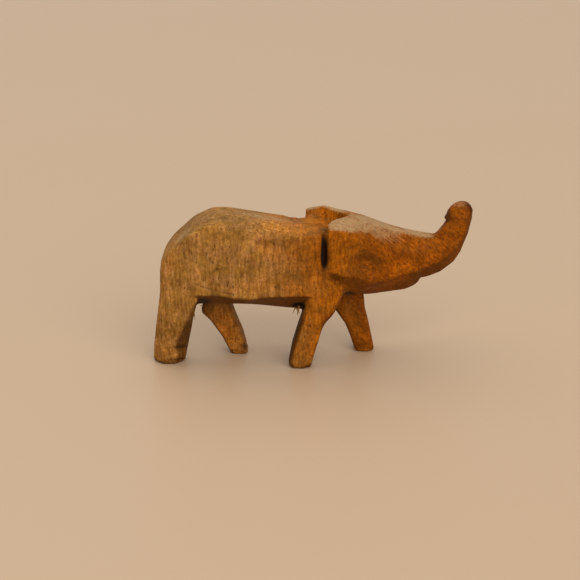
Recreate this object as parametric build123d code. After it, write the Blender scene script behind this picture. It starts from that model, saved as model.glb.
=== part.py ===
"""A small striding elephant whittled from one block of wood, with its trunk raised.

The carving is made of faceted masses, as a carver roughs them out: the barrel, the head, the trunk and four
legs. They join into one block, a notch and two slots free the ears, and flat planes then part the block into
named regions that meet face to face. Millimetres, +X towards the trunk, +Y to the elephant's left, +Z up. The
origin is under the middle of the carving's box, at the height of the soles.
"""

import os

from build123d import *

# ---- driving dimensions ----
BARREL_HALF = 7.0  # half the width of the body at its flanks
BARREL_BACK_HALF = 3.6  # half the width of the flat along the back
BELLY_HALF = 2.6  # half the width of the flat along the belly
HEAD_TURN = 10.0  # the head looks this many degrees to the elephant's left
HEAD_PIVOT = 2.2  # how far forward the upright line is that the head turns about
HEAD_ROLL = 2.5  # the head leans this many degrees to its right
HEAD_ROLL_HEIGHT = 20.0  # about a line at this height
NOTCH_TIP = 6.4  # how far forward the notch between the ears reaches
EAR_BACK = {"right": 1.1, "left": -0.7}  # where the back edge of each ear is, along the head
EAR_NOTCH = {"right": 5.2, "left": 5.5}  # how far out the notch has spread at that edge
EAR_SLOT = 1.0  # width of the slot behind each ear
SLOT_FLOOR = 4.7  # how far out from the middle each slot's floor is
SLOT_FOOT = 19.6  # height at which each slot ends
LEG_PARTING = 10.0  # legs are parted from the body just under the belly
THROAT = ((1.0, 17.8), (9.8, 12.3))  # the slanting line that parts neck and head from the chest
MOUTH = (20.2, 14.9)  # corner between the lower lip and the trunk, where the jaw is parted too
TRUNK_ROOT = (15.6, 24.8)  # where the trunk's top leaves the forehead
LIMB_SPLIT = -10.0  # rear legs are behind this line and front legs before it
BEYOND = 60.0  # reaches past the carving

SIDES = {"right": -1, "left": 1}

# The barrel from rump to chest: how far forward, then the heights of the belly, the lower and upper edges of
# the flank and the back, then half the width at the flanks as a share of the full half width.
BARREL = [
    (-28.7, 12.4, 13.6, 17.6, 19.2, 0.62),
    (-27.9, 11.9, 13.6, 20.2, 21.4, 0.84),
    (-26.3, 11.5, 13.8, 22.8, 23.4, 0.95),
    (-22.6, 11.3, 14.2, 26.1, 26.6, 1.00),
    (-19.2, 11.3, 14.3, 27.6, 28.3, 1.00),
    (-16.4, 11.3, 14.2, 27.4, 28.5, 1.00),
    (-11.6, 11.2, 13.7, 26.1, 27.8, 1.00),
    (-7.6, 10.8, 14.0, 25.1, 27.1, 1.00),
    (-3.4, 10.4, 14.2, 25.4, 26.4, 1.00),
    (1.5, 10.5, 14.2, 25.9, 26.1, 0.99),
    (2.6, 10.9, 14.2, 24.4, 25.6, 0.64),
    (8.4, 12.4, 14.4, 21.0, 23.0, 0.44),
]

# The head along its own middle line: how far forward, then the heights of the chin, the lower and upper edges
# of the cheek and the crown, then half the widths at the chin, the cheek and the crown.
HEAD = [
    (-0.7, 13.6, 19.4, 26.9, 27.9, 2.0, 6.5, 4.5),
    (2.6, 12.8, 18.6, 26.8, 28.1, 2.0, 6.4, 4.2),
    (6.4, 12.4, 16.6, 26.0, 27.8, 1.8, 5.8, 3.0),
    (9.6, 12.3, 15.6, 24.2, 27.0, 1.7, 5.2, 2.0),
    (13.7, 12.6, 16.2, 21.8, 25.4, 1.6, 4.3, 1.5),
    (17.3, 12.8, 17.0, 20.6, 24.2, 1.4, 3.6, 1.4),
    (19.0, 13.4, 17.0, 20.4, 23.8, 1.2, 3.3, 1.3),
    (20.1, 14.2, 16.8, 20.2, 23.4, 1.0, 2.6, 1.2),
]

# The trunk from the face to its tip: its under point and its top point in the side view, then half its width,
# and the shares of the way up at which its side starts and ends.
TRUNK = [
    ((17.8, 15.0), (17.0, 24.2), 3.5, 0.26, 0.60),
    ((21.2, 15.0), (20.3, 23.5), 3.0, 0.32, 0.62),
    ((24.1, 15.9), (23.1, 22.9), 2.7, 0.42, 0.70),
    ((26.7, 17.8), (23.9, 23.5), 2.5, 0.42, 0.76),
    ((28.2, 20.1), (24.7, 24.5), 2.3, 0.34, 0.82),
    ((29.2, 23.0), (25.3, 25.9), 2.1, 0.24, 0.84),
    ((29.9, 26.2), (25.6, 27.2), 2.0, 0.20, 0.86),
    ((30.0, 28.0), (26.3, 28.3), 1.8, 0.20, 0.86),
    ((29.2, 28.8), (27.4, 28.8), 1.1, 0.20, 0.80),
]
TRUNK_EDGE_SHARE = 0.45  # width of the trunk's flat top and flat underside, as a share of its width

# Each leg from the sole up: height, where its back, front, inner side and outer side are, and the width taken
# off its outer front corner. The cuts are the widths taken off its other corners: outer back, inner front and
# inner back.
LEGS = {
    "rear_right": {
        "rings": [
            (0.0, -30.2, -24.5, 0.7, 4.8, 1.6),
            (0.6, -30.4, -24.4, 0.5, 5.1, 2.0),
            (4.5, -30.1, -23.5, 0.8, 5.9, 2.4),
            (9.0, -29.4, -22.7, 1.2, 6.7, 1.2),
            (13.2, -28.8, -21.6, 1.2, 6.95, 0.3),
            (18.0, -28.3, -23.0, 1.2, 6.6, 0.3),
        ],
        "cuts": (1.8, 0.5, 1.0),
    },
    "rear_left": {
        "rings": [
            (0.0, -16.0, -12.9, 0.3, 4.6, 0.8),
            (0.6, -16.2, -12.6, 0.2, 4.8, 0.8),
            (3.4, -17.6, -13.5, 0.4, 5.4, 0.8),
            (6.6, -19.8, -14.9, 0.6, 6.1, 0.8),
            (8.2, -21.5, -15.5, 0.7, 6.5, 0.8),
            (10.4, -21.2, -16.1, 0.9, 6.8, 0.8),
            (14.0, -24.0, -17.0, 1.2, 6.9, 0.8),
        ],
        "cuts": (0.8, 0.6, 0.6),
    },
    "front_right": {
        "rings": [
            (0.0, -4.7, -0.8, 3.0, 7.1, 0.5),
            (0.6, -4.9, -0.6, 2.8, 7.2, 0.6),
            (4.0, -4.3, 0.3, 2.6, 7.2, 0.6),
            (8.0, -3.1, 1.6, 2.4, 7.2, 0.6),
            (11.0, -2.1, 3.7, 2.2, 7.15, 0.6),
            (15.0, -0.6, 5.0, 2.0, 7.1, 0.5),
            (17.6, 0.7, 2.2, 2.0, 6.9, 0.4),
        ],
        "cuts": (0.8, 0.6, 0.6),
    },
    "front_left": {
        "rings": [
            (0.0, 8.1, 11.4, 1.7, 6.1, 0.7),
            (0.6, 7.8, 11.6, 1.6, 6.3, 0.7),
            (3.0, 7.0, 11.1, 1.6, 6.5, 0.7),
            (5.6, 6.0, 10.5, 1.5, 6.7, 0.7),
            (8.2, 4.2, 9.8, 1.5, 6.9, 0.7),
            (11.0, 1.8, 9.5, 1.5, 7.0, 0.7),
            (14.0, 0.5, 9.2, 1.5, 6.6, 0.7),
        ],
        "cuts": (0.7, 0.6, 0.6),
    },
}


# ---- shaping ----
def mass(rings):
    """A solid with flat-sided skin through a row of closed outlines that have the same number of corners."""
    return Solid.make_loft([Wire.make_polygon(ring, close=True) for ring in rings], ruled=True)


def across(half_view):
    """An outline from points (forward, height, half width), mirrored from the right side to the left."""
    right = [(x, -half, z) for x, z, half in half_view]
    left = [(x, half, z) for x, z, half in reversed(half_view)]
    return right + left


def barrel():
    rings = []
    for x, belly, flank_foot, flank_top, back, share in BARREL:
        half = BARREL_HALF * share
        half_view = [
            (x, belly, BELLY_HALF * share),
            (x, flank_foot, half),
            (x, flank_top, half),
            (x, back, BARREL_BACK_HALF * share),
        ]
        rings.append(across(half_view))
    return mass(rings)


def head_mass():
    rings = []
    for u, chin, cheek_foot, cheek_top, crown, chin_half, cheek_half, crown_half in HEAD:
        half_view = [
            (u, chin, chin_half),
            (u, cheek_foot, cheek_half),
            (u, cheek_top, cheek_half),
            (u, crown, crown_half),
        ]
        rings.append(across(half_view))
    return mass(rings)


def trunk_mass():
    rings = []
    for under, top, half, side_start, side_end in TRUNK:
        half_view = []
        for share, width in ((0, TRUNK_EDGE_SHARE), (side_start, 1), (side_end, 1), (1, TRUNK_EDGE_SHARE)):
            x = under[0] + (top[0] - under[0]) * share
            z = under[1] + (top[1] - under[1]) * share
            half_view.append((x, z, half * width))
        rings.append(across(half_view))
    return mass(rings)


def leg(name):
    side = SIDES[name.split("_")[1]]
    outer_back, inner_front, inner_back = LEGS[name]["cuts"]
    rings = []
    for z, back, front, inner, outer, outer_front in LEGS[name]["rings"]:
        outline = [
            (back + outer_back, outer),
            (front - outer_front, outer),
            (front, outer - outer_front),
            (front, inner + inner_front),
            (front - inner_front, inner),
            (back + inner_back, inner),
            (back, inner + inner_back),
            (back, outer - outer_back),
        ]
        rings.append([(x, side * y, z) for x, y in outline])
    return mass(rings)


# ---- the head's own frame ----
def turned(shape):
    """Turn a shape that was made looking straight ahead, to look where the head looks."""
    return shape.rotate(Axis((HEAD_PIVOT, 0, 0), (0, 0, 1)), HEAD_TURN)


def head_plane(point, normal):
    """A plane given in the head's own frame, as a point on it and the way that it faces."""
    origin = Vector(*point) - Vector(HEAD_PIVOT, 0, 0)
    origin = origin.rotate(Axis.Z, HEAD_TURN) + Vector(HEAD_PIVOT, 0, 0)
    return Plane(origin=origin, z_dir=Vector(*normal).rotate(Axis.Z, HEAD_TURN))


def upright(outline, foot):
    """A tall prism that stands on a plan outline, from the given height up."""
    wire = Wire.make_polygon([(u, v, foot) for u, v in outline], close=True)
    return Solid.extrude(Face(wire), Vector(0, 0, BEYOND))


def ear_notch():
    """The swallow-tail notch between the ears, seen from above."""
    spread = {}
    for side, sign in SIDES.items():
        run = NOTCH_TIP - EAR_BACK[side]
        spread[side] = (NOTCH_TIP - 2 * run, sign * 2 * EAR_NOTCH[side])
    return upright([(NOTCH_TIP, 0), spread["left"], spread["right"]], 0)


def behind_right_ear():
    """What the head has behind the right ear's back edge, which sits further forward than the left."""
    back = EAR_BACK["right"]
    return upright([(back, 0), (-BEYOND, 0), (-BEYOND, -BEYOND), (back, -BEYOND)], 0)


def ear_slot(side):
    front = EAR_BACK[side]
    floor = SIDES[side] * SLOT_FLOOR
    outside = SIDES[side] * BEYOND
    back = front - EAR_SLOT
    return upright([(front, floor), (front, outside), (back, outside), (back, floor)], SLOT_FOOT)


def carve():
    """The whole carving as one solid."""
    head = head_mass() + trunk_mass()
    head = head.rotate(Axis((0, 0, HEAD_ROLL_HEIGHT), (1, 0, 0)), HEAD_ROLL)
    head = head - ear_notch() - behind_right_ear()
    carving = barrel() + turned(head)
    for name in LEGS:
        carving = carving + leg(name)
    for side in SIDES:
        carving = carving - turned(ear_slot(side))
    return carving


# ---- parting into regions ----
def part(shape, plane):
    """Part a solid along a plane: first what lies on the side that the plane faces, then the rest."""
    ahead = split(shape, bisect_by=plane, keep=Keep.TOP)
    behind = split(shape, bisect_by=plane, keep=Keep.BOTTOM)
    return ahead, behind


def sloping_plane(lower, upper):
    """A plane across the head, given by two points of the side view, facing forward and up."""
    along = (upper[0] - lower[0], upper[1] - lower[1])
    return head_plane((lower[0], 0, lower[1]), (abs(along[1]), 0, abs(along[0])))


def wall_plane(side):
    """The plane of one wall of the notch, facing out through the ear."""
    run = NOTCH_TIP - EAR_BACK[side]
    return head_plane((NOTCH_TIP, 0, 0), (EAR_NOTCH[side], SIDES[side] * run, 0))


def ear_back_plane():
    """The upright plane through the middle of both slots, facing forward."""
    right = EAR_BACK["right"] - EAR_SLOT / 2
    left = EAR_BACK["left"] - EAR_SLOT / 2
    return head_plane(((right + left) / 2, 0, 0), (2 * SLOT_FLOOR, right - left, 0))


def leg_name(limb):
    middle = limb.center()
    end = "front" if middle.X > LIMB_SPLIT else "rear"
    side = "left" if middle.Y > 0 else "right"
    return f"{end}_{side}_leg"


def regions(carving):
    """The carving parted into its named regions, which meet face to face."""
    body, limbs = part(carving, Plane.XY.offset(LEG_PARTING))
    named = {leg_name(limb): limb for limb in limbs.solids()}
    fore, named["torso"] = part(body, ear_back_plane())
    fore, named["chest"] = part(fore, sloping_plane(THROAT[1], THROAT[0]))
    face, fore = part(fore, head_plane((NOTCH_TIP, 0, 0), (1, 0, 0)))
    named["right_ear"], fore = part(fore, wall_plane("right"))
    named["left_ear"], named["neck"] = part(fore, wall_plane("left"))
    named["trunk"], face = part(face, sloping_plane(MOUTH, TRUNK_ROOT))
    named["head"], named["lower_jaw"] = part(face, Plane.XY.offset(MOUTH[1]))
    return named


def main():
    os.makedirs("parts", exist_ok=True)
    carving = carve()
    box = carving.bounding_box()
    to_origin = Location((-box.center().X, -box.center().Y, -box.min.Z))
    for name, region in regions(carving).items():
        export_step(region.solid().moved(to_origin), f"parts/{name}.step")
    print("size", [round(side, 2) for side in box.size], "moved by", to_origin.position)


main()
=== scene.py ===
"""The looks of a small elephant whittled from one block of wood and rubbed smooth by handling.

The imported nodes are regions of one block. Here they are joined into one skin again, which is worn, shaved and
nicked the way hands and a knife leave it. The skin is then parted along the nodes' own shared planes, so that
each node has one finished piece and the pieces meet without a visible line. Shaping works in millimetres, in
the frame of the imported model.
"""

import math

import bmesh
import bpy
import numpy as np
from mathutils import Matrix, Vector
from mathutils.bvhtree import BVHTree


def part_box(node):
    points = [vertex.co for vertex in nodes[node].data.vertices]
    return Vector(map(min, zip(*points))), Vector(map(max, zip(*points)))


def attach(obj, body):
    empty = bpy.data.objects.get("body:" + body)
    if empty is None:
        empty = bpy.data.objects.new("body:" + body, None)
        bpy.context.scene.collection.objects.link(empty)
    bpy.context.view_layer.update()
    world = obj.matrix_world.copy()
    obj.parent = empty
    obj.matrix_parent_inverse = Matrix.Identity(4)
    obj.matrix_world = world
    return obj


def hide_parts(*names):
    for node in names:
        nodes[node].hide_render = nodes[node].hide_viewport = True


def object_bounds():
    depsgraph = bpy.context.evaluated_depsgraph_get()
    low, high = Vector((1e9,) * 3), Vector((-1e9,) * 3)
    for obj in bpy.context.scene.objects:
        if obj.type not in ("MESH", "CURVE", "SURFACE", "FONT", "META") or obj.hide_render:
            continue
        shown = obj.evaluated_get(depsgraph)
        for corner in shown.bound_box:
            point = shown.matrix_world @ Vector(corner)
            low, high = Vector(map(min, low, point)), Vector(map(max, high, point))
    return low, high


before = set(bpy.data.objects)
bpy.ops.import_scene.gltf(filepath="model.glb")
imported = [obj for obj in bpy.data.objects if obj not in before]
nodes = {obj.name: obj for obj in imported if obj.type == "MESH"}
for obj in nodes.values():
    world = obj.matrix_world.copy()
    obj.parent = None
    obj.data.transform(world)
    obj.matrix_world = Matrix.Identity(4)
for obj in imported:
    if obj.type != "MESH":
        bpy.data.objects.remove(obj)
cad_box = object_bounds()
BODY = "root"

MM = 0.001
TO_METRES = Matrix.Scale(MM, 4)
VOXEL = 0.18  # size of the skin's quads, in mm
rng = np.random.default_rng(7)

UP = np.array((0.0, 0.0, 1.0))
FORWARD = np.array((1.0, 0.0, 0.0))

LEGS = ["rear_right_leg", "rear_left_leg", "front_right_leg", "front_left_leg"]
# pairs of nodes whose shared planes part the block, in the order of cutting: the second of each lies ahead
MEETINGS = [
    ("rear_right_leg", "torso"),
    ("torso", "chest"),
    ("chest", "neck"),
    ("left_ear", "head"),
    ("neck", "right_ear"),
    ("neck", "left_ear"),
    ("head", "trunk"),
    ("lower_jaw", "head"),
]


# ---- places ----
def at(node, along, across, up):
    """A point in mm at these shares of a node's box: from its rear, its right side and its foot."""
    low, high = (np.array(corner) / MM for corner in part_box(node))
    return low + np.array((along, across, up)) * (high - low)


def ramp(values, start, end):
    """0 before start, 1 after end, and smooth between them. It falls where start is the larger."""
    share = np.clip((values - start) / (end - start), 0.0, 1.0)
    return share * share * (3.0 - 2.0 * share)


def unit(vectors):
    """The same directions at length 1."""
    return vectors / np.linalg.norm(vectors, axis=-1, keepdims=True)


def linked(name, data):
    """A new object in the scene."""
    thing = bpy.data.objects.new(name, data)
    bpy.context.scene.collection.objects.link(thing)
    return thing


# ---- the skin: the whole carving as arrays, in millimetres ----
class Skin:
    """A closed surface of quads, held as arrays so that tools can move its points."""

    def __init__(self, mesh):
        self.points = np.empty(len(mesh.vertices) * 3)
        mesh.vertices.foreach_get("co", self.points)
        self.points = self.points.reshape(-1, 3)
        self.edges = np.empty(len(mesh.edges) * 2, np.int32)
        mesh.edges.foreach_get("vertices", self.edges)
        self.edges = self.edges.reshape(-1, 2)
        self.quads = np.empty(len(mesh.polygons) * 4, np.int32)
        mesh.polygons.foreach_get("vertices", self.quads)
        self.quads = self.quads.reshape(-1, 4)
        self.count = len(self.points)
        self.degree = np.bincount(self.edges.ravel(), minlength=self.count)
        self.normals = self.measured_normals()

    def spread(self, values):
        """Each point's mean of its neighbours' values."""
        if values.ndim == 2:
            return np.stack([self.spread(column) for column in values.T], -1)
        first, second = self.edges.T
        total = np.bincount(first, values[second], self.count)
        total = total + np.bincount(second, values[first], self.count)
        return total / self.degree

    def blurred(self, values, rounds):
        """Values spread over the surface, a little further with each round."""
        for _ in range(rounds):
            values = 0.5 * values + 0.5 * self.spread(values)
        return values

    def relax(self, share, rounds):
        """Smooth the surface, by a share that may differ from point to point."""
        share = np.broadcast_to(share, self.count)[:, None]
        for _ in range(rounds):
            self.points = self.points + share * (self.spread(self.points) - self.points)
        self.normals = self.measured_normals()

    def measured_normals(self):
        """The way that the surface faces at each point, from the quads round it."""
        corners = self.points[self.quads]
        facing = np.cross(corners[:, 2] - corners[:, 0], corners[:, 3] - corners[:, 1])
        total = np.zeros((self.count, 3))
        for corner in range(4):
            for axis in range(3):
                total[:, axis] += np.bincount(self.quads[:, corner], facing[:, axis], self.count)
        return unit(total)

    def nearest(self, place):
        """The point of the skin nearest to a place."""
        return int(np.argmin(((self.points - place) ** 2).sum(1)))


def evenly_meshed(mesh):
    """A mesh remade as one closed skin of even quads."""
    block = linked("block", mesh)
    even = block.modifiers.new("even", "REMESH")
    even.mode = "VOXEL"
    even.voxel_size = VOXEL
    depsgraph = bpy.context.evaluated_depsgraph_get()
    remade = bpy.data.meshes.new_from_object(block.evaluated_get(depsgraph))
    bpy.data.objects.remove(block)
    return remade


def block_skin():
    """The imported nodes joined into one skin."""
    joined = bmesh.new()
    for node in nodes.values():
        joined.from_mesh(node.data)
    bmesh.ops.scale(joined, vec=(1 / MM,) * 3, verts=joined.verts)
    mesh = bpy.data.meshes.new("block")
    joined.to_mesh(mesh)
    joined.free()
    return Skin(evenly_meshed(mesh))


# ---- the tools: wear, knife and gouge ----
def blob(skin, centre, radii, turn=0.0):
    """1 at a place, fading to 0 at a stretched round border, turned in the side view by some degrees."""
    offset = skin.points - centre
    angle = math.radians(turn)
    along = offset[:, 0] * math.cos(angle) + offset[:, 2] * math.sin(angle)
    up = offset[:, 2] * math.cos(angle) - offset[:, 0] * math.sin(angle)
    far = np.sqrt((along / radii[0]) ** 2 + (offset[:, 1] / radii[1]) ** 2 + (up / radii[2]) ** 2)
    return 1.0 - ramp(far, 0.35, 1.0)


def wear(skin):
    """Soften the edges: a little everywhere, more in hollows and on the crown, most on the rump and back."""
    skin.relax(0.5, 6)
    hollow = ramp(convexity(skin, 20), -0.01, -0.08)
    skin.relax(0.5 * skin.blurred(hollow, 4), 25)
    x, _, z = skin.points.T
    head_back = at("neck", 0, 0, 0)[0]
    back_edge = at("torso", 0, 0, 0.62)[2]
    back_top = at("torso", 0, 0, 0.86)[2]
    handled = ramp(z, back_edge, back_top) * ramp(x, head_back - 4.0, head_back - 10.0)
    thigh, flank = 12.0, 18.0  # heights between which the rump's wear sets in
    rump = ramp(x, at("torso", 0.16, 0, 0)[0], at("torso", 0.02, 0, 0)[0]) * ramp(z, thigh, flank)
    skin.relax(0.5 * np.maximum(handled, rump), 70)
    brow, crest = 23.0, 25.0  # heights between which the crown's wear sets in
    crown = ramp(x, head_back + 1.0, head_back + 4.0) * ramp(z, brow, crest)
    skin.relax(0.5 * crown, 8)


def soften(skin, middle, radii, rounds):
    """Rub one spot smooth."""
    skin.relax(0.5 * blob(skin, middle, radii), rounds)


def shave(skin, centre, normal, along, depth, lengthwise, crosswise):
    """One pass of the knife: nothing near stays above a shallow trough that is this deep at its centre.
    The last two numbers are the trough's radii of curvature in mm. In a hollow the blade would dig in, so
    nothing is taken there."""
    offset = skin.points - centre
    height = offset @ normal
    run = (offset @ along) ** 2 / (2 * lengthwise)
    side = (offset @ np.cross(normal, along)) ** 2 / (2 * crosswise)
    facing = skin.normals @ normal
    reach = 2.0  # the blade misses what lies further off its plane
    dig = 0.12
    share = 1.0 - ramp(np.sqrt((run + side) / depth), 1.2, 2.0)
    share *= ramp(facing, 0.2, 0.5) * (np.abs(height) < reach)
    if (height[share > 0.1] > dig).any():
        return
    excess = height - (run + side - depth)
    skin.points -= (np.maximum(excess, 0.0) * share)[:, None] * normal


def pare(skin, place, normal, middle, radii):
    """A flat cut: what stands above a plane is taken off, within a soft-edged region."""
    excess = np.maximum((skin.points - place) @ normal, 0.0)
    skin.points -= (excess * ramp(blob(skin, middle, radii), 0.0, 0.4))[:, None] * normal


def fill(skin, place, normal, middle, radii):
    """The reverse of a flat cut: a hollow is brought up to a plane, within a soft-edged region.
    A face that is square to the plane comes along only near it."""
    deepest = 2.5
    lack = np.clip((place - skin.points) @ normal, 0.0, deepest)
    turned = skin.normals @ normal - 0.6 * np.minimum(lack, 1.0)
    share = ramp(blob(skin, middle, radii), 0.0, 0.7) * ramp(turned, -0.5, -0.1)
    skin.points += (lack * share)[:, None] * normal


def scoop(skin, middle, radii, depth):
    """A dent, or a swelling where the depth is below 0."""
    skin.points -= (depth * blob(skin, middle, radii))[:, None] * skin.normals


def push(skin, middle, radii, move):
    """Shift one spot by a few tenths of a millimetre."""
    skin.points += blob(skin, middle, radii)[:, None] * move


def groove(skin, route, width, depth):
    """A rounded groove along a route of places, as deep as given and fading over its width."""
    reach = np.full(skin.count, np.inf)
    for start, end in zip(route[:-1], route[1:]):
        run = end - start
        share = np.clip((skin.points - start) @ run / (run @ run), 0.0, 1.0)
        reach = np.minimum(reach, np.linalg.norm(skin.points - start - share[:, None] * run, axis=1))
    skin.points -= (depth * np.exp(-((reach / width) ** 2)))[:, None] * skin.normals


def grain_along(normal):
    """The way a knife stroke runs on a surface that faces this way: up and down the sides, along the top."""
    if abs(normal[2]) < 0.65:
        stroke = UP - normal[2] * normal
    else:
        stroke = FORWARD - normal[0] * normal
    return unit(stroke)


def whittle(skin):
    """The carver's facets: long and shallow on the flanks, shorter and deeper on the legs, trunk and head."""
    strokes = 420
    swing = 0.35  # how far a stroke may turn off the grain, in radians
    # a cut's depth in mm, then its radii of curvature along and across the stroke
    leg_cut, head_cut, body_cut = (0.10, 60, 18), (0.07, 40, 14), (0.05, 90, 30)
    head_start = at("neck", 0, 0, 0)[0]
    belly = at("torso", 0, 0, 0)[2]
    broad = unit(skin.blurred(skin.normals, 12))
    for spot in rng.choice(skin.count, strokes, replace=False):
        centre = skin.points[spot]
        normal = broad[spot]
        turn = rng.uniform(-swing, swing)
        bite = rng.uniform(0.5, 1.0)
        stroke = grain_along(normal)
        stroke = math.cos(turn) * stroke + math.sin(turn) * np.cross(normal, stroke)
        if centre[2] < belly:
            depth, lengthwise, crosswise = leg_cut
        elif centre[0] > head_start:
            depth, lengthwise, crosswise = head_cut
        else:
            depth, lengthwise, crosswise = body_cut
        shave(skin, centre, normal, stroke, depth * bite, lengthwise, crosswise)
    skin.relax(0.5, 2)


def chip(skin, node, count):
    """Small broken places round the rim of a foot."""
    slack = 0.2
    sole_edge = 0.15  # the chips stay above the sole itself
    low = at(node, 0, 0, 0)
    high = at(node, 1, 1, 0.09)
    inside = (skin.points > low - slack).all(1) & (skin.points < high + slack).all(1)
    rim = inside & (skin.points[:, 2] > low[2] + sole_edge)
    for spot in rng.choice(np.flatnonzero(rim), count, replace=False):
        size = rng.uniform(0.4, 1.0)
        scoop(skin, skin.points[spot].copy(), (size, size, 0.6 * size), 0.22 * size)


def leg_cuts(skin):
    """Flat cuts down the front corner of the near rear leg and the rear corner of the near front one, the
    toe and shelf of the near rear foot, a cleft in the far rear foot, and chips round all four."""
    corner = at("rear_right_leg", 0.67, 0.05, 0.60)
    front = unit(np.array((0.74, -0.56, -0.37)))
    pare(skin, corner, front, at("rear_right_leg", 0.72, 0.20, 0.84), (4.5, 4.0, 6.6))
    toe = at("rear_right_leg", 0.77, 0.30, 0.15)
    pare(skin, toe, FORWARD, toe, (2.6, 4.0, 2.4))
    scoop(skin, at("rear_right_leg", 0.70, 0.32, 0.16), (2.0, 2.6, 1.5), -0.25)
    shelf = [at("rear_right_leg", 0.59, 0.20, 0.36), at("rear_right_leg", 0.80, 0.55, 0.30)]
    groove(skin, shelf, 0.40, 0.22)
    corner = at("front_right_leg", 0.13, 0.05, 0.60)
    rear = unit(np.array((-0.88, -0.44, 0.19)))
    pare(skin, corner, rear, at("front_right_leg", 0.20, 0.20, 0.60), (3.5, 3.5, 8.5))
    soften(skin, at("front_right_leg", 0.75, 0.10, 0.90), (2.5, 3.0, 3.0), 40)
    soften(skin, at("front_right_leg", 0.80, 0.10, 0.78), (2.5, 3.5, 3.0), 90)
    cleft = [at("rear_left_leg", 0.72, 0.0, 0.26), at("rear_left_leg", 0.98, 0.06, 0.12)]
    groove(skin, cleft, 0.40, 0.16)
    for leg in LEGS:
        chip(skin, leg, 9)


def throat_cuts(skin):
    """Under the head one soft facet runs from the slot's foot to the jaw. The slot's rim is rubbed round."""
    soften(skin, at("neck", 0.50, 0.05, 0.40), (2.5, 2.5, 2.5), 40)
    soften(skin, at("neck", 0.46, 0.00, 0.66), (2.6, 2.4, 6.5), 30)
    under = unit(np.array((0.04, -0.80, -0.60)))
    facet = at("right_ear", 0.95, 0.30, 0.10)
    fill(skin, at("right_ear", 0.56, 0.15, 0.23), under, facet, (7.5, 3.6, 3.6))
    soften(skin, at("right_ear", 1.10, 0.35, 0.10), (7.5, 4.0, 3.2), 90)
    soften(skin, at("lower_jaw", 0.30, 0.12, 0.90), (6.0, 3.0, 2.5), 60)


def ear_cuts(skin):
    """The far ear stands higher than the near one and has two flat bevels, along its top and at its rear."""
    push(skin, at("left_ear", 0.30, 0.60, 1.0), (5.5, 6.0, 2.5), 0.45 * UP)
    push(skin, at("left_ear", 0.0, 0.60, 0.86), (1.6, 6.0, 3.0), -0.60 * FORWARD)
    soften(skin, at("left_ear", 0.0, 0.50, 1.02), (2.2, 6.0, 1.8), 40)
    bevel = unit(np.array((-0.14, -0.50, 0.86)))
    pare(skin, at("left_ear", 0.30, 0.46, 1.005), bevel, at("left_ear", 0.38, 0.46, 1.0), (7.0, 2.5, 1.8))
    rear_bevel = unit(np.array((-0.475, -0.453, 0.755)))
    rear = at("left_ear", 0.20, 0.66, 0.96)
    pare(skin, at("left_ear", 0.26, 0.585, 0.962), rear_bevel, rear, (5.5, 3.6, 2.8))


def trunk_cuts(skin):
    """The trunk rises in one slope to a lip behind its tip, with a hollow under the lip and a raised end."""
    rise = unit(np.array((-0.77, 0.15, 0.62)))
    fill(skin, at("trunk", 0.63, 0.55, 0.72), rise, at("trunk", 0.57, 0.55, 0.70), (3.4, 5.0, 3.4))
    lip = at("trunk", 0.69, 0.62, 0.83)
    ledge = ramp(skin.points[:, 2], lip[2] - 0.55, lip[2] - 0.15)
    skin.points -= (0.42 * blob(skin, lip, (1.6, 3.0, 1.5)) * ledge)[:, None] * FORWARD
    push(skin, at("trunk", 0.66, 0.60, 0.87), (0.9, 3.0, 1.2), -0.30 * UP)
    scoop(skin, lip - 1.2 * UP, (1.0, 2.2, 0.7), 0.22)
    push(skin, at("trunk", 0.645, 0.55, 0.83), (0.8, 3.0, 0.7), np.array((-0.12, 0.0, -0.22)))
    push(skin, at("trunk", 0.69, 0.62, 0.94), (1.5, 3.0, 1.4), -0.28 * FORWARD)
    push(skin, at("trunk", 0.85, 0.60, 1.00), (3.0, 3.5, 1.8), 0.40 * UP)


def face_cut(skin):
    """A shallow slash where the eye would be."""
    slash = [at("head", 0.57, 0.25, 0.60), at("head", 0.63, 0.27, 0.52), at("head", 0.70, 0.28, 0.45)]
    groove(skin, slash, 0.22, 0.12)


def body_cuts(skin):
    """A smooth chest with one crease, a dent on the back, the fine line that a slipped blade left over
    the belly, a faint hollow down the shoulder, a full belly and the pit of a knot at its corner."""
    soften(skin, at("chest", 0.75, 0.35, 0.30), (4.5, 5.0, 4.0), 60)
    soften(skin, at("chest", 0.64, 0.20, 0.52), (3.0, 3.0, 3.0), 60)
    push(skin, at("chest", 0.61, 0.20, 0.30), (2.0, 2.5, 2.2), 0.40 * FORWARD)
    crease = [at("chest", 0.72, 0.28, 0.38), at("chest", 0.80, 0.37, 0.31)]
    groove(skin, crease, 0.30, 0.20)
    scoop(skin, at("torso", 0.39, 0.28, 1.00), (3.2, 2.4, 2.0), 0.22)
    dent = [at("torso", 0.38, 0.30, 0.995), at("torso", 0.42, 0.27, 0.99)]
    groove(skin, dent, 0.25, 0.14)
    slip = [at("torso", along, 0.01, up) for along, up in ((0.24, 0.35), (0.32, 0.30), (0.45, 0.25))]
    groove(skin, slip, 0.20, 0.10)
    shoulder = [at("torso", along, 0.02, up) for along, up in ((0.95, 0.44), (0.92, 0.35), (0.89, 0.26))]
    groove(skin, shoulder, 0.35, 0.10)
    scoop(skin, at("torso", 0.49, 0.02, 0.17), (4.5, 2.0, 2.2), -0.35)
    scoop(skin, at("torso", 0.835, 0.24, 0.08), (1.3, 1.6, 1.1), 0.35)


def hand_cuts(skin):
    """The marks that this one carving has."""
    leg_cuts(skin)
    throat_cuts(skin)
    ear_cuts(skin)
    trunk_cuts(skin)
    face_cut(skin)
    body_cuts(skin)
    skin.relax(0.5, 1)
    skin.normals = skin.measured_normals()


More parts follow.
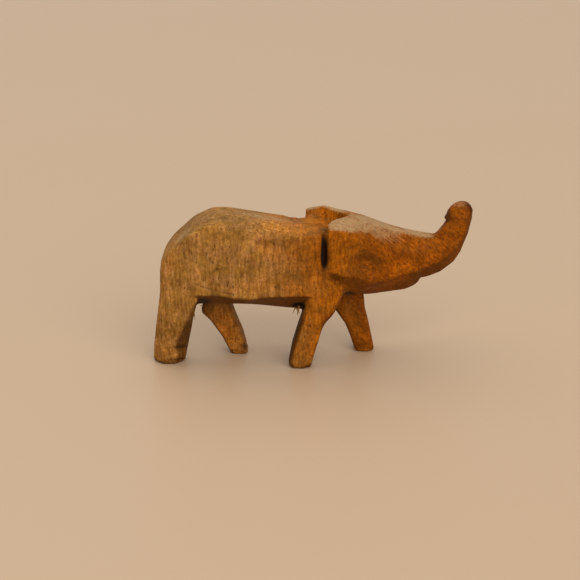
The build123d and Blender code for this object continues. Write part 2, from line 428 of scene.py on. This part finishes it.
# ---- what light and hands leave on the skin, as one number per point ----
def sheltered(skin):
    """How much of the sky each point can't see, from 0 in the open to 1 deep in a slot."""
    rays = 40
    reach = 7.0
    lift = 0.12
    step = 7  # every seventh point is measured and the rest are filled in from it
    askew = (0.37, 0.81, 0.45)  # any direction off the normal serves to build a point's own axes on
    golden = math.pi * (3.0 - math.sqrt(5.0))
    turns = np.arange(rays) * golden
    out = np.sqrt((np.arange(rays) + 0.5) / rays)
    fan = np.stack((out * np.cos(turns), out * np.sin(turns), np.sqrt(1 - out * out)), -1)
    tree = BVHTree.FromPolygons(skin.points.tolist(), skin.quads.tolist())
    known = np.zeros(skin.count)
    hidden = np.zeros(skin.count)
    for spot in range(0, skin.count, step):
        normal = skin.normals[spot]
        side = unit(np.cross(normal, askew))
        directions = fan @ np.stack((side, np.cross(normal, side), normal))
        start = Vector(skin.points[spot] + lift * normal)
        blocked = 0.0
        for direction in directions.tolist():
            distance = tree.ray_cast(start, direction, reach)[3]
            if distance is not None:
                blocked += 1.0 - distance / reach
        known[spot] = 1.0
        hidden[spot] = blocked / rays
    return skin.blurred(hidden, 12) / np.maximum(skin.blurred(known, 12), 1e-6)


def convexity(skin, rounds):
    """How far each point stands out from its smoothed surroundings, in mm: negative in a hollow."""
    return ((skin.points - skin.blurred(skin.points, rounds)) * skin.normals).sum(1)


def warmth(skin):
    """From 0, the grey tan of the rump, to 1, the amber of the head. The far legs are halfway or more."""
    x, y, z = skin.points.T
    shoulder = at("torso", 0.80, 0, 0)[0]
    neck = at("torso", 1.0, 0, 0)[0]
    leg_top = at("rear_left_leg", 0, 0, 1.0)[2]
    body = 0.75 * ramp(x, shoulder - 11.0, neck - 1.0) + 0.25 * ramp(x, neck - 4.0, neck + 3.0)
    far_leg = ramp(y, -0.5, 0.5) * ramp(z, leg_top + 2.0, leg_top - 1.0) * 0.5
    return np.maximum(body, far_leg)


def dusted_and_sheened(skin, upward):
    """Where dust and dry skin pale what faces up, together with a painted sheen of the light from above: the
    back, the ears, the crest and the top of the trunk. The far ear's rear bevel and the far rear toe are pale
    on their steeper faces too."""
    # what faces up gets dust and a painted sheen of the light from above
    tops = ramp(upward, 0.25, 0.85)
    where = np.maximum.reduce([
        # the whole back, a streak along its ridge, and the top of the rump
        0.24 * blob(skin, at("torso", 0.35, 0.45, 0.95), (14.0, 9.0, 6.0)),
        0.50 * blob(skin, at("torso", 0.62, 0.52, 0.96), (9.0, 3.0, 1.8), -9),
        0.55 * blob(skin, at("torso", 0.12, 0.20, 0.85), (5.0, 4.0, 3.0)),
        # the near ear and the far one
        0.90 * blob(skin, at("right_ear", 0.60, 0.35, 0.95), (6.5, 4.5, 3.0)),
        0.90 * blob(skin, at("left_ear", 0.50, 0.60, 1.00), (9.0, 6.0, 2.2)),
        # the crest, and the gap between it and the near ear
        0.90 * blob(skin, at("head", 0.40, 0.45, 0.80), (12.0, 4.5, 5.0)),
        0.85 * blob(skin, at("head", 0.22, 0.21, 0.89), (3.4, 2.2, 1.8), -25),
        # the trunk's root and its tip
        0.90 * blob(skin, at("trunk", 0.28, 0.45, 0.63), (5.0, 3.5, 2.5)),
        0.36 * blob(skin, at("trunk", 0.83, 0.60, 1.00), (3.0, 3.0, 1.6)),
    ])
    bevel = ramp(upward, 0.15, 0.50) * blob(skin, at("left_ear", 0.20, 0.65, 0.95), (5.0, 3.0, 1.8))
    toe = blob(skin, at("rear_left_leg", 0.72, 0.05, 0.14), (1.6, 1.8, 1.5))
    return np.maximum(tops * where, np.maximum(0.90 * bevel, 0.28 * toe))


def inner_faces(skin, facing):
    """The faces of the legs that look at another leg. Those on the near side are the stronger."""
    x, y, z = skin.points.T
    outward = facing[:, 1] * np.sign(y)
    middle = at("torso", 0.52, 0, 0)[0]
    between = ramp(facing[:, 0] * np.sign(middle - x), 0.0, 0.3)
    on_leg = ramp(z, at("torso", 0, 0, 0.14)[2], at("torso", 0, 0, -0.06)[2])
    looks_in = np.maximum(between, ramp(outward, 0.1, -0.2))
    return np.where(y < 0, 0.90, 0.25) * on_leg * ramp(outward, 0.88, 0.68) * looks_in


def stained_and_shaded(skin, upward):
    """Brown painted shade on what faces down, on the legs' inner faces and in spots where shade falls, with a
    few spots of brown tone and dirt at the soles.
    """
    x, _, z = skin.points.T
    facing = skin.blurred(skin.normals, 3)
    forward = facing[:, 0]
    trunk = ramp(x, at("trunk", 0.05, 0, 0)[0], at("trunk", 0.30, 0, 0)[0])
    head = ramp(x, at("chest", 0.55, 0, 0)[0], at("chest", 0.75, 0, 0)[0]) - trunk
    front_leg = blob(skin, at("front_right_leg", 0.20, 0.4, 0.45), (4.5, 5.0, 7.5))
    ear_edge = blob(skin, at("left_ear", 0.0, 0.4, 0.88), (1.5, 6.0, 4.0))
    trunk_front = ramp(x, at("trunk", 0.5, 0, 0)[0], at("trunk", 0.7, 0, 0)[0])
    return np.maximum.reduce([
        # painted shade and stain on all that faces down, less so under the head
        (0.95 - 0.35 * head) * ramp(upward, -0.05, -0.50),
        # painted shade on the legs' faces that look at another leg
        inner_faces(skin, facing),
        # painted shade on the far rear leg at the crotch
        0.75 * blob(skin, at("rear_left_leg", 0.08, 0.15, 0.93), (2.8, 4.0, 3.0)),
        # painted shade along the lower edge of the cheek
        0.75 * blob(skin, at("head", 0.20, 0.06, 0.48), (2.8, 2.5, 1.1), -4),
        0.55 * blob(skin, at("head", 0.38, 0.12, 0.44), (3.6, 2.5, 1.2), -40),
        # painted shade in an upright band on the shoulder, beside the slot
        0.55 * blob(skin, at("torso", 0.99, 0.00, 0.55), (2.0, 4.0, 6.5)),
        # painted shade on the chest from the crease up to the slot's foot, under the ear
        0.70 * blob(skin, at("chest", 0.70, 0.26, 0.45), (2.6, 3.0, 1.8)),
        0.75 * blob(skin, at("chest", 0.56, 0.16, 0.72), (1.5, 2.4, 3.4), 50),
        # painted shade in a smudge high on the flank, under the back's edge
        0.45 * blob(skin, at("torso", 0.66, 0.01, 0.79), (3.5, 2.0, 1.3), -8),
        # painted shade in the hollow at the trunk's lip
        0.90 * blob(skin, at("trunk", 0.66, 0.55, 0.85), (1.3, 3.0, 1.7)),
        # painted shade on the rear face of the near front leg
        0.95 * ramp(forward, -0.55, -0.85) * front_leg,
        # the far feet
        0.55 * blob(skin, at("rear_left_leg", 0.90, 0.10, 0.12), (2.2, 3.0, 2.0)),
        0.50 * blob(skin, at("front_left_leg", 0.60, 0.10, 0.18), (4.0, 3.0, 3.0)),
        # painted shade on the far ear's rear edge
        0.60 * ramp(forward, -0.2, -0.6) * ear_edge,
        0.70 * blob(skin, at("left_ear", 0.01, 0.75, 0.84), (1.0, 3.0, 3.0)),
        # a faint tone on the shoulder and the near ear
        0.14 * blob(skin, at("torso", 0.90, 0.02, 0.62), (4.0, 3.0, 5.0)),
        0.14 * blob(skin, at("right_ear", 0.65, 0.05, 0.36), (4.5, 3.0, 2.6)),
        # painted shade on the front of the trunk
        0.65 * ramp(forward, 0.15, 0.60) * trunk_front,
        # a painted contact shadow and dirt along the edges of the soles
        0.60 * ramp(z, 0.7, 0.1),
    ])


def rubbed_and_lit(skin):
    """Where touching keeps the wood bright, and painted light inside the notch between the ears."""
    return np.maximum.reduce([
        # painted light inside the notch between the ears
        1.00 * blob(skin, at("left_ear", 0.45, 0.35, 0.80), (6.0, 4.5, 4.0)),
        # the front of the back, and the shoulder
        0.55 * blob(skin, at("torso", 0.80, 0.30, 0.90), (9.0, 5.0, 3.0)),
        0.48 * blob(skin, at("chest", 0.35, 0.02, 0.62), (4.0, 3.0, 4.0)),
        # the near front foot and the near thigh
        0.24 * blob(skin, at("front_right_leg", 0.35, 0.05, 0.18), (5.0, 4.0, 4.5)),
        0.24 * blob(skin, at("rear_right_leg", 0.35, 0.00, 0.98), (5.5, 3.0, 5.0)),
    ])


def sooty_and_shadowed(skin):
    """Painted black shadow deep in the slot, the crotch, the crease, the dent, the feet's cleft and shelf,
    between the near legs and under the trunk's lip; black dirt packed in the knot; and a dark smudge on the
    trunk's end.
    """
    forward = skin.normals[:, 0]
    knot = blob(skin, at("torso", 0.84, 0.24, 0.07), (2.2, 3.0, 2.0))
    rear_leg = blob(skin, at("rear_right_leg", 0.75, 0.3, 0.65), (4, 5, 5))
    front_leg = blob(skin, at("front_right_leg", 0.15, 0.4, 0.55), (4, 5, 8))
    return np.maximum.reduce([
        # painted black shadow in the slot's core, and at its upper end
        ramp(blob(skin, at("neck", 0.455, 0.02, 0.64), (0.95, 3.0, 4.7), 2), 0.0, 0.75),
        0.40 * blob(skin, at("neck", 0.44, 0.16, 0.97), (1.4, 1.8, 0.4), -10),
        # dirt in the knot at the belly's corner, and painted shadow in the rear crotch
        0.90 * ramp(knot, 0.1, 0.8),
        0.85 * blob(skin, at("torso", 0.265, 0.22, 0.13), (2.4, 4.5, 2.6)),
        # painted shadow in the chest's crease
        0.80 * blob(skin, at("chest", 0.73, 0.32, 0.35), (2.2, 2.2, 0.75), -22),
        # painted shadow in the dent on the back
        0.40 * blob(skin, at("torso", 0.40, 0.27, 1.00), (2.0, 1.3, 0.8)),
        # painted shadow in the far rear foot's cleft and under the near rear foot's shelf
        0.60 * blob(skin, at("rear_left_leg", 0.92, 0.04, 0.16), (1.3, 1.8, 0.7), -35),
        0.50 * blob(skin, at("rear_right_leg", 0.66, 0.32, 0.36), (1.5, 1.8, 0.8), -15),
        # painted shade on the near legs' faces that look at each other
        0.28 * ramp(forward, 0.4, 0.6) * rear_leg,
        0.50 * ramp(forward, -0.6, -0.85) * front_leg,
        # a dark smudge on the trunk's end, and painted shadow under its lip
        0.55 * blob(skin, at("trunk", 0.95, 0.62, 0.97), (1.7, 2.8, 1.2), -35),
        0.18 * blob(skin, at("trunk", 0.66, 0.60, 0.86), (0.8, 3.0, 1.1)),
    ])


def marks(skin):
    """Every mark that the wood's colour depends on."""
    upward = skin.blurred(skin.normals, 4)[:, 2]
    ear = at("right_ear", 0.60, 0, 0)[0]
    cheek = at("right_ear", 1.50, 0, 0)[0]
    return {
        "warm": warmth(skin),
        "slant": ramp(skin.points[:, 0], ear, cheek),
        # dust and a painted sheen on what faces up
        "dust_and_sheen": skin.blurred(dusted_and_sheened(skin, upward), 12),
        # brown painted shade and some stain
        "stain_and_shade": skin.blurred(stained_and_shaded(skin, upward), 2),
        # black painted shadow, and black dirt in the knot
        "soot_and_shadow": skin.blurred(sooty_and_shadowed(skin), 3),
        # wear that keeps the wood bright, and painted light in the notch
        "rubbed_and_lit": rubbed_and_lit(skin),
        # sky hidden from a point, and how far it sinks: both feed the painted shade in hollows
        "sheltered": sheltered(skin),
        "edge": convexity(skin, 6),
    }


# ---- parting the skin into pieces ----
def corners_of(node):
    """A node's corners, in mm."""
    return np.array([vertex.co for vertex in nodes[node].data.vertices]) / MM


def flat_faces(node):
    """The normal, place and area of each triangle of a node, in mm."""
    mesh = nodes[node].data
    mesh.calc_loop_triangles()
    triangles = mesh.loop_triangles
    normals = np.array([triangle.normal for triangle in triangles])
    places = np.array([mesh.vertices[triangle.vertices[0]].co for triangle in triangles]) / MM
    areas = np.array([triangle.area for triangle in triangles]) / MM**2
    return normals, places, areas


def shared_plane(behind, ahead):
    """The plane in which two nodes meet: a place on it, and the normal that points into the second node.
    Of the flat faces that the two have in common, it is the widest that keeps them on its two sides."""
    slack = 0.01
    face_to_face = -0.9999  # the cosine between the normals of two faces that touch
    normals, places, _ = flat_faces(behind)
    facing, others, areas = flat_faces(ahead)
    opposite = normals @ facing.T < face_to_face
    level = np.abs((normals * places).sum(1)[:, None] + (facing * others).sum(1)) < slack
    for face in np.argsort(-((opposite & level) @ areas)):
        place, normal = places[face], normals[face]
        lowest = ((corners_of(ahead) - place) @ normal).min()
        highest = ((corners_of(behind) - place) @ normal).max()
        if lowest > -slack and highest < slack:
            return place, normal
    raise ValueError(f"{behind} and {ahead} don't meet")


def lies_ahead(node, place, normal):
    """Whether a node lies on the side of a plane that its normal points to."""
    heights = (corners_of(node) - place) @ normal
    return heights.max() > -heights.min()


def half_of(whole, place, normal, ahead):
    """A closed copy of the part of a mesh that lies ahead of a plane, or behind it. Its cut face is flat."""
    on_plane = 1e-5
    half = whole.copy()
    bmesh.ops.bisect_plane(
        half,
        geom=[*half.verts, *half.edges, *half.faces],
        dist=on_plane,
        plane_co=place,
        plane_no=normal,
        clear_inner=ahead,
        clear_outer=not ahead,
    )
    rim = [edge for edge in half.edges if edge.is_boundary]
    filled = bmesh.ops.triangle_fill(half, use_beauty=True, use_dissolve=False, edges=rim)
    outward = Vector(-normal if ahead else normal)
    for face in filled["geom"]:
        if isinstance(face, bmesh.types.BMFace) and face.normal.dot(outward) < 0:
            face.normal_flip()
    return half


def loose_parts(whole):
    """The separate closed parts of a mesh, each as a mesh of its own."""
    whole.verts.ensure_lookup_table()
    label = {}
    for seed in whole.verts:
        if seed.index in label:
            continue
        label[seed.index] = seed.index
        waiting = [seed]
        while waiting:
            for edge in waiting.pop().link_edges:
                for vert in edge.verts:
                    if vert.index not in label:
                        label[vert.index] = seed.index
                        waiting.append(vert)
    parts = []
    for name in sorted(set(label.values())):
        alone = whole.copy()
        alone.verts.ensure_lookup_table()
        others = [alone.verts[index] for index, mine in label.items() if mine != name]
        bmesh.ops.delete(alone, geom=others, context="VERTS")
        parts.append(alone)
    return parts


def middle_of(whole):
    """The middle of a mesh's box, in mm."""
    places = np.array([vert.co for vert in whole.verts])
    return (places.min(0) + places.max(0)) / 2


def marked(skin, all_marks):
    """The skin as a mesh whose points carry the marks and the way they face."""
    mesh = bpy.data.meshes.new("skin")
    mesh.from_pydata(skin.points.tolist(), [], skin.quads.tolist())
    for name, values in all_marks.items():
        layer = mesh.attributes.new(name, "FLOAT", "POINT")
        layer.data.foreach_set("value", values.astype(np.float32))
    layer = mesh.attributes.new("facing", "FLOAT_VECTOR", "POINT")
    layer.data.foreach_set("vector", skin.normals.astype(np.float32).ravel())
    whole = bmesh.new()
    whole.from_mesh(mesh)
    for face in whole.faces:
        face.smooth = True
    return whole


def cut_up(whole):
    """A mesh cut along each shared plane in turn. Each shape comes with the names of the nodes in it."""
    shapes = [(whole, list(nodes))]
    for behind, ahead in MEETINGS:
        place, normal = shared_plane(behind, ahead)
        index = next(i for i, (_, names) in enumerate(shapes) if behind in names and ahead in names)
        shape, names = shapes.pop(index)
        front = [name for name in names if lies_ahead(name, place, normal)]
        back = [name for name in names if name not in front]
        shapes.append((half_of(shape, place, normal, True), front))
        shapes.append((half_of(shape, place, normal, False), back))
    return shapes


def parted(whole):
    """One closed mesh per node. Nodes that one plane cuts off together, as the legs are, don't touch, so
    each takes the loose part whose middle is nearest to its own."""
    pieces = {}
    for shape, names in cut_up(whole):
        if len(names) == 1:
            pieces[names[0]] = shape
            continue
        for limb in loose_parts(shape):
            middle = middle_of(limb)
            name = min(names, key=lambda each: np.linalg.norm(at(each, 0.5, 0.5, 0.5) - middle))
            pieces[name] = limb
    return pieces


def place_piece(node, shape, material):
    """A finished piece that stands for a node, with the skin's own smooth shading up to each cut."""
    mesh = bpy.data.meshes.new(node + "_wood")
    shape.to_mesh(mesh)
    facing = np.empty(len(mesh.vertices) * 3, np.float32)
    mesh.attributes["facing"].data.foreach_get("vector", facing)
    facing = unit(facing.reshape(-1, 3))
    corners = np.empty(len(mesh.loops), np.int32)
    mesh.loops.foreach_get("vertex_index", corners)
    shading = facing[corners]
    for face in mesh.polygons:
        if not face.use_smooth:
            shading[face.loop_start : face.loop_start + face.loop_total] = face.normal
    mesh.transform(TO_METRES)
    mesh.normals_split_custom_set(shading)
    mesh.attributes.remove(mesh.attributes["facing"])
    mesh.materials.append(material)
    piece = linked(node + "_wood", mesh)
    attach(piece, BODY)
    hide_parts(node)


# ---- fibres that the knife left hanging ----
BEND = 0.35  # how far strands stray from their way and from straight


def fibre(shape, root, way, length, thickness):
    """One closed, tapering, slightly curved strand, added to a mesh."""
    sides = 6
    rings = 6
    taper = 0.75  # the share of its thickness that a strand has lost at its tip
    askew = (0.31, 0.87, 0.38)  # any direction off the strand's own serves to turn its rings by
    curl = rng.normal(0.0, BEND, 3)
    way = unit(np.array(way, float))
    place = np.array(root, float)
    turns = [2 * math.pi * each / sides for each in range(sides)]
    circles = []
    for ring in range(rings):
        side = unit(np.cross(way, askew))
        other = np.cross(way, side)
        radius = thickness * (1.0 - taper * ring / (rings - 1))
        spokes = [math.cos(turn) * side + math.sin(turn) * other for turn in turns]
        circles.append([shape.verts.new(place + radius * spoke) for spoke in spokes])
        place = place + way * length / (rings - 1)
        way = unit(way + curl / rings)
    for lower, upper in zip(circles[:-1], circles[1:]):
        for each in range(sides):
            following = (each + 1) % sides
            shape.faces.new((lower[each], lower[following], upper[following], upper[each]))
    shape.faces.new(circles[0][::-1])
    shape.faces.new(circles[-1])


def tuft(name, skin, places, way, length, thickness, material):
    """A few strands that start in the skin nearest to the given places and hang more or less one way."""
    rooted = 0.15  # how deep a strand starts under the skin
    shape = bmesh.new()
    for place in places:
        root = skin.points[skin.nearest(place)]
        own_way = np.array(way) + rng.normal(0.0, BEND, 3)
        start = root - rooted * unit(own_way)
        fibre(shape, start, own_way, length * rng.uniform(0.5, 1.0), thickness)
    bmesh.ops.recalc_face_normals(shape, faces=shape.faces)
    for face in shape.faces:
        face.smooth = True
    mesh = bpy.data.meshes.new(name)
    shape.to_mesh(mesh)
    shape.free()
    mesh.transform(TO_METRES)
    mesh.materials.append(material)
    piece = linked(name, mesh)
    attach(piece, BODY)


def fibres(skin, material):
    """Strands at the belly's corner, in the rear crotch and behind the far rear leg's top, and a fuzz
    along the belly's lower edge."""
    corner = [at("torso", share, 0.30, 0.03) for share in (0.810, 0.820, 0.826, 0.832, 0.840)]
    tuft("corner_fibres", skin, corner, (0.0, 0.0, -1.0), 1.9, 0.12, material)
    splinter = [at("torso", 0.832, 0.28, 0.05)]
    tuft("corner_splinter", skin, splinter, (-0.1, -0.1, -1.0), 2.6, 0.24, material)
    crotch = [at("rear_right_leg", 1.0, 0.5, up) for up in (0.98, 0.92)]
    tuft("crotch_fibres", skin, crotch, (0.3, 0.0, -1.0), 1.4, 0.11, material)
    far = [at("rear_left_leg", 0.0, 0.3, up) for up in (0.95, 0.90)]
    tuft("far_leg_fibres", skin, far, (-0.6, 0.0, -1.0), 1.0, 0.10, material)
    edge = [at("torso", share, rng.uniform(0.4, 0.6), 0.03) for share in np.linspace(0.54, 0.78, 9)]
    tuft("belly_fuzz", skin, edge, (0.2, 0.0, -1.0), 0.45, 0.06, material)


# ---- paint: shader nodes ----
class Paint:
    """A procedural material. Each method adds one node, links or sets its inputs, and gives its output."""

    def __init__(self, name):
        self.material = bpy.data.materials.new(name)
        self.material.use_nodes = True
        self.tree = self.material.node_tree
        self.shader = self.tree.nodes["Principled BSDF"]

    def add(self, kind, inputs, output=0, **settings):
        """One node with its inputs and settings. Gives the chosen output."""
        node = self.tree.nodes.new(kind)
        for name, value in settings.items():
            setattr(node, name, value)
        for socket, value in inputs.items():
            self.feed(node.inputs[socket], value)
        return node.outputs[output]

    def feed(self, socket, value):
        """A link where the value comes from another node, and a plain number or colour otherwise."""
        if isinstance(value, bpy.types.NodeSocket):
            self.tree.links.new(value, socket)
        else:
            socket.default_value = value

    def mark(self, name):
        """One of the skin's marks."""
        return self.add("ShaderNodeAttribute", {}, "Fac", attribute_name=name)

    def place(self, scale, turn=(0.0, 0.0, 0.0)):
        """Object coordinates, turned by degrees and then scaled from metres."""
        here = self.add("ShaderNodeTexCoord", {}, "Object")
        turned = self.add(
            "ShaderNodeMapping", {"Vector": here, "Rotation": [math.radians(angle) for angle in turn]}
        )
        return self.add("ShaderNodeMapping", {"Vector": turned, "Scale": [each / MM for each in scale]})

    def noise(self, where, scale, detail=2.0, roughness=0.5):
        """Soft patches, as many per unit of place as the scale says."""
        inputs = {"Vector": where, "Scale": scale, "Detail": detail, "Roughness": roughness}
        return self.add("ShaderNodeTexNoise", inputs, "Fac")

    def cells(self, where):
        """The distance to the nearest of many scattered points, one per unit of place."""
        return self.add("ShaderNodeTexVoronoi", {"Vector": where, "Scale": 1.0}, "Distance")

    def ramp(self, value, start, end, low=0.0, high=1.0):
        """A smooth step of a value from start to end."""
        inputs = {"Value": value, "From Min": start, "From Max": end, "To Min": low, "To Max": high}
        return self.add("ShaderNodeMapRange", inputs, interpolation_type="SMOOTHSTEP")

    def math(self, operation, first, second):
        return self.add("ShaderNodeMath", {0: first, 1: second}, operation=operation)

    def shifted(self, value, factor, base):
        """A value times a factor, added to a base."""
        return self.add("ShaderNodeMath", {0: value, 1: factor, 2: base}, operation="MULTIPLY_ADD")

    def tone(self, value, start, end, low, high):
        """A grey for multiplying with, from low to high."""
        level = self.ramp(value, start, end, low, high)
        return self.add("ShaderNodeCombineColor", {0: level, 1: level, 2: level})

    def mix(self, share, first, second, blend="MIX"):
        """Two colours mixed."""
        inputs = {0: share, 6: first, 7: second}
        return self.add("ShaderNodeMix", inputs, 2, data_type="RGBA", blend_type=blend)

    def times(self, colour, grey):
        """A colour made lighter or darker by another."""
        return self.mix(1.0, colour, grey, "MULTIPLY")


# the bare wood, from the rump to the trunk, and its pale strokes
TAN = (0.330, 0.148, 0.026, 1.0)
UMBER = (0.230, 0.105, 0.045, 1.0)
AMBER = (0.290, 0.082, 0.002, 1.0)
DEEP = (0.240, 0.060, 0.001, 1.0)
STRAW = (0.44, 0.25, 0.09, 1.0)
# what the grain's lines multiply it with
DULL = (0.74, 0.69, 0.60, 1.0)
BRIGHT = (1.24, 1.34, 1.60, 1.0)
# dust with a painted sheen of the light from above, and the wood that shows through it
PALE_DUST_SHEEN = (0.455, 0.295, 0.145, 1.0)
DUSK = (0.28, 0.16, 0.075, 1.0)
# pores, brown painted shade and stain, painted shade in the hollows, and black dirt and painted black shadow
PORE = (0.060, 0.025, 0.004, 1.0)
STAIN_SHADE = (0.085, 0.028, 0.003, 1.0)
HOLLOW_SHADE = (0.030, 0.012, 0.003, 1.0)
SOOT_SHADOW = (0.012, 0.008, 0.006, 1.0)
# the room
FLOOR = (0.60, 0.44, 0.30, 1.0)
ROOM = (1.0, 0.95, 0.88, 1.0)


def wood_colour(paint, even, upright):
    """The bare wood: grey tan at the rump, amber at the head and deeper at the trunk, in soft patches."""
    broad = paint.noise(even, 0.16, 2.0, 0.5)
    patches = paint.noise(even, 0.5, 3.0, 0.6)
    mottle = paint.noise(even, 1.1, 3.0, 0.6)
    warm = paint.shifted(paint.math("SUBTRACT", broad, 0.5), 0.9, paint.mark("warm"))
    tan = paint.mix(paint.ramp(patches, 0.40, 0.70, 0.0, 0.45), TAN, UMBER)
    amber = paint.mix(paint.mark("slant"), AMBER, DEEP)
    body = paint.mix(paint.ramp(warm, 0.0, 1.0), tan, amber)
    body = paint.times(body, paint.tone(broad, 0.3, 0.7, 0.82, 1.22))
    body = paint.times(body, paint.tone(patches, 0.3, 0.7, 0.80, 1.25))
    body = paint.times(body, paint.tone(mottle, 0.3, 0.7, 0.84, 1.18))
    # lighter where rubbed, and painted light in the notch between the ears
    body = paint.times(body, paint.tone(paint.mark("rubbed_and_lit"), 0.0, 1.0, 1.0, 1.55))
    pale = paint.ramp(paint.noise(upright, 1.6, 2.0, 0.5), 0.56, 0.76, 0.0, 0.40)
    pale = paint.math("MULTIPLY", pale, paint.ramp(paint.mark("warm"), 0.2, 1.0, 1.0, 0.15))
    return paint.mix(pale, body, STRAW)


def specks(paint, even):
    """Dark pores, many and fine, and a few larger ones."""
    fine = paint.ramp(paint.cells(paint.place((1.5, 1.5, 0.6))), 0.25, 0.08)
    fine = paint.math("MULTIPLY", fine, paint.ramp(paint.noise(even, 0.5), 0.30, 0.60))
    large = paint.ramp(paint.cells(paint.place((0.6, 0.6, 0.4))), 0.17, 0.07)
    large = paint.math("MULTIPLY", large, paint.ramp(paint.noise(even, 0.9, 1.0), 0.48, 0.62))
    return paint.math("MAXIMUM", paint.math("MULTIPLY", fine, 0.75), paint.math("MULTIPLY", large, 0.7))


def dusty_and_sheened(paint, body, lines, hatch, grit):
    """Dust and a painted sheen of the light from above over the wood, ragged at its border, worn through in
    spots and scored by the knife's hatch.
    """
    ragged = paint.math("ADD", lines, paint.math("MULTIPLY", grit, 1.6))
    # pale dust and painted sheen, ragged at the border
    settled = paint.ramp(paint.shifted(ragged, 0.45, paint.mark("dust_and_sheen")), 0.72, 1.42)
    worn_through = paint.ramp(grit, 0.32, 0.60, 0.62, 0.90)
    dust_and_sheen = paint.mix(paint.ramp(hatch, 0.42, 0.68, 0.0, 0.55), PALE_DUST_SHEEN, DUSK)
    return paint.mix(paint.math("MULTIPLY", settled, worn_through), body, dust_and_sheen)


def shaded_and_dirty(paint, body, grit):
    """Brown painted shade and stain, then painted shade in every shelter and fine hollow, then the black
    painted shadow of the slot and the black dirt of the knot.
    """
    # brown painted shade and some stain, broken by the grit
    uneven = paint.math("MULTIPLY", paint.mark("stain_and_shade"), paint.ramp(grit, 0.3, 0.7, 1.0, 0.75))
    body = paint.mix(uneven, body, STAIN_SHADE)
    # painted shade where the skin sees little of the sky, and in fine hollows
    deep = paint.ramp(paint.mark("sheltered"), 0.62, 0.95)
    sunk = paint.math("MAXIMUM", deep, paint.ramp(paint.mark("edge"), -0.008, -0.05))
    body = paint.mix(paint.math("MULTIPLY", sunk, 0.85), body, HOLLOW_SHADE)
    # painted black shadow in the slot and other deep places, and black dirt in the knot
    return paint.mix(paint.math("MULTIPLY", paint.mark("soot_and_shadow"), 0.96), body, SOOT_SHADOW)


def carved_wood():
    """Hand-rubbed light hardwood, pale where dust and a painted sheen lie on what faces up, with painted shade
    in every shelter.
    """
    paint = Paint("carved_wood_worn")
    even = paint.place((1, 1, 1))
    upright = paint.place((1, 1, 0.16))
    slanted = paint.place((1, 1, 0.16), (0, 50, 0))
    strokes = paint.noise(upright, 2.4, 3.0, 0.6)
    hatch = paint.noise(slanted, 2.8)
    grit = paint.noise(even, 2.4, 4.0, 0.7)
    blend = {0: paint.mark("slant"), 2: strokes, 3: hatch}
    lines = paint.add("ShaderNodeMix", blend, data_type="FLOAT")
    pores = specks(paint, even)

    body = wood_colour(paint, even, upright)
    body = paint.times(body, paint.mix(paint.ramp(lines, 0.3, 0.7), DULL, BRIGHT))
    body = paint.times(body, paint.tone(grit, 0.3, 0.7, 0.76, 1.22))
    body = paint.mix(pores, body, PORE)
    body = dusty_and_sheened(paint, body, lines, hatch, grit)
    body = shaded_and_dirty(paint, body, grit)
    relief = paint.math("ADD", paint.math("MULTIPLY", lines, 0.6), paint.math("MULTIPLY", grit, 0.5))
    relief = paint.math("SUBTRACT", relief, pores)
    bump = paint.add("ShaderNodeBump", {"Height": relief, "Strength": 0.7, "Distance": 0.07 * MM})

    shader = paint.shader.inputs
    paint.feed(shader["Base Color"], body)
    paint.feed(shader["Roughness"], paint.ramp(lines, 0.3, 0.7, 0.50, 0.66))
    paint.feed(shader["Normal"], bump)
    shader["IOR"].default_value = 1.45
    shader["Specular IOR Level"].default_value = 0.07
    return paint.material


# ---- stage, light and camera ----
def floor():
    """A plain pale floor at the height of the soles."""
    lengths = 30  # how many elephants it reaches each way
    low, high = cad_box
    half = lengths * (high.x - low.x)
    mesh = bpy.data.meshes.new("floor")
    sides = ((-1, -1), (1, -1), (1, 1), (-1, 1))
    corners = [(across * half, away * half, low.z) for across, away in sides]
    mesh.from_pydata(corners, [], [(0, 1, 2, 3)])
    paint = Paint("pale_floor")
    paint.shader.inputs["Base Color"].default_value = FLOOR
    paint.shader.inputs["Roughness"].default_value = 0.38
    paint.shader.inputs["Specular IOR Level"].default_value = 0.35
    mesh.materials.append(paint.material)
    ground = linked("floor", mesh)


def soft_light(name, towards, spread, power, colour):
    """A lamp that shines in one direction, from as wide a part of the sky as its spread in degrees."""
    lamp = bpy.data.lights.new(name, "SUN")
    lamp.angle = math.radians(spread)
    lamp.energy = power
    lamp.color = colour
    light = linked(name, lamp)
    light.rotation_euler = Vector(towards).to_track_quat("-Z", "Y").to_euler()


def studio():
    """Soft warm light from overhead and from the camera's side, in a pale room."""
    soft_light("overhead", towards=(0.25, -0.35, -1.0), spread=75, power=1.05, colour=(1.0, 0.96, 0.90))
    soft_light("front", towards=(-0.35, 0.9, -0.65), spread=60, power=1.75, colour=(1.0, 0.92, 0.80))
    world = bpy.data.worlds.new("pale_room")
    world.use_nodes = True
    background = world.node_tree.nodes["Background"].inputs
    background["Color"].default_value = ROOM
    background["Strength"].default_value = 0.42
    bpy.context.scene.world = world
    bpy.context.scene.view_settings.view_transform = "Standard"


def camera():
    """A long lens to the elephant's right, a little above it and tilted down at its middle."""
    low, high = cad_box
    middle = (low + high) / 2
    behind = 4.3 * MM  # the aim is this far behind the middle
    height = 13.2 * MM
    away = 245 * MM
    tilt = math.radians(18.5)
    lens = bpy.data.cameras.new("camera")
    lens.lens = 80.7
    lens.clip_start = 10 * MM
    eye = linked("camera", lens)
    aim = Vector((middle.x - behind, middle.y, height))
    eye.location = aim + away * Vector((0, -math.cos(tilt), math.sin(tilt)))
    eye.rotation_euler = (math.pi / 2 - tilt, 0, 0)
    bpy.context.scene.camera = eye


def main():
    """The whole carving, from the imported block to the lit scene."""
    skin = block_skin()
    wear(skin)
    whittle(skin)
    hand_cuts(skin)
    wood = carved_wood()
    for node, shape in parted(marked(skin, marks(skin))).items():
        place_piece(node, shape, wood)
    fibres(skin, wood)
    floor()
    studio()
    camera()


main()
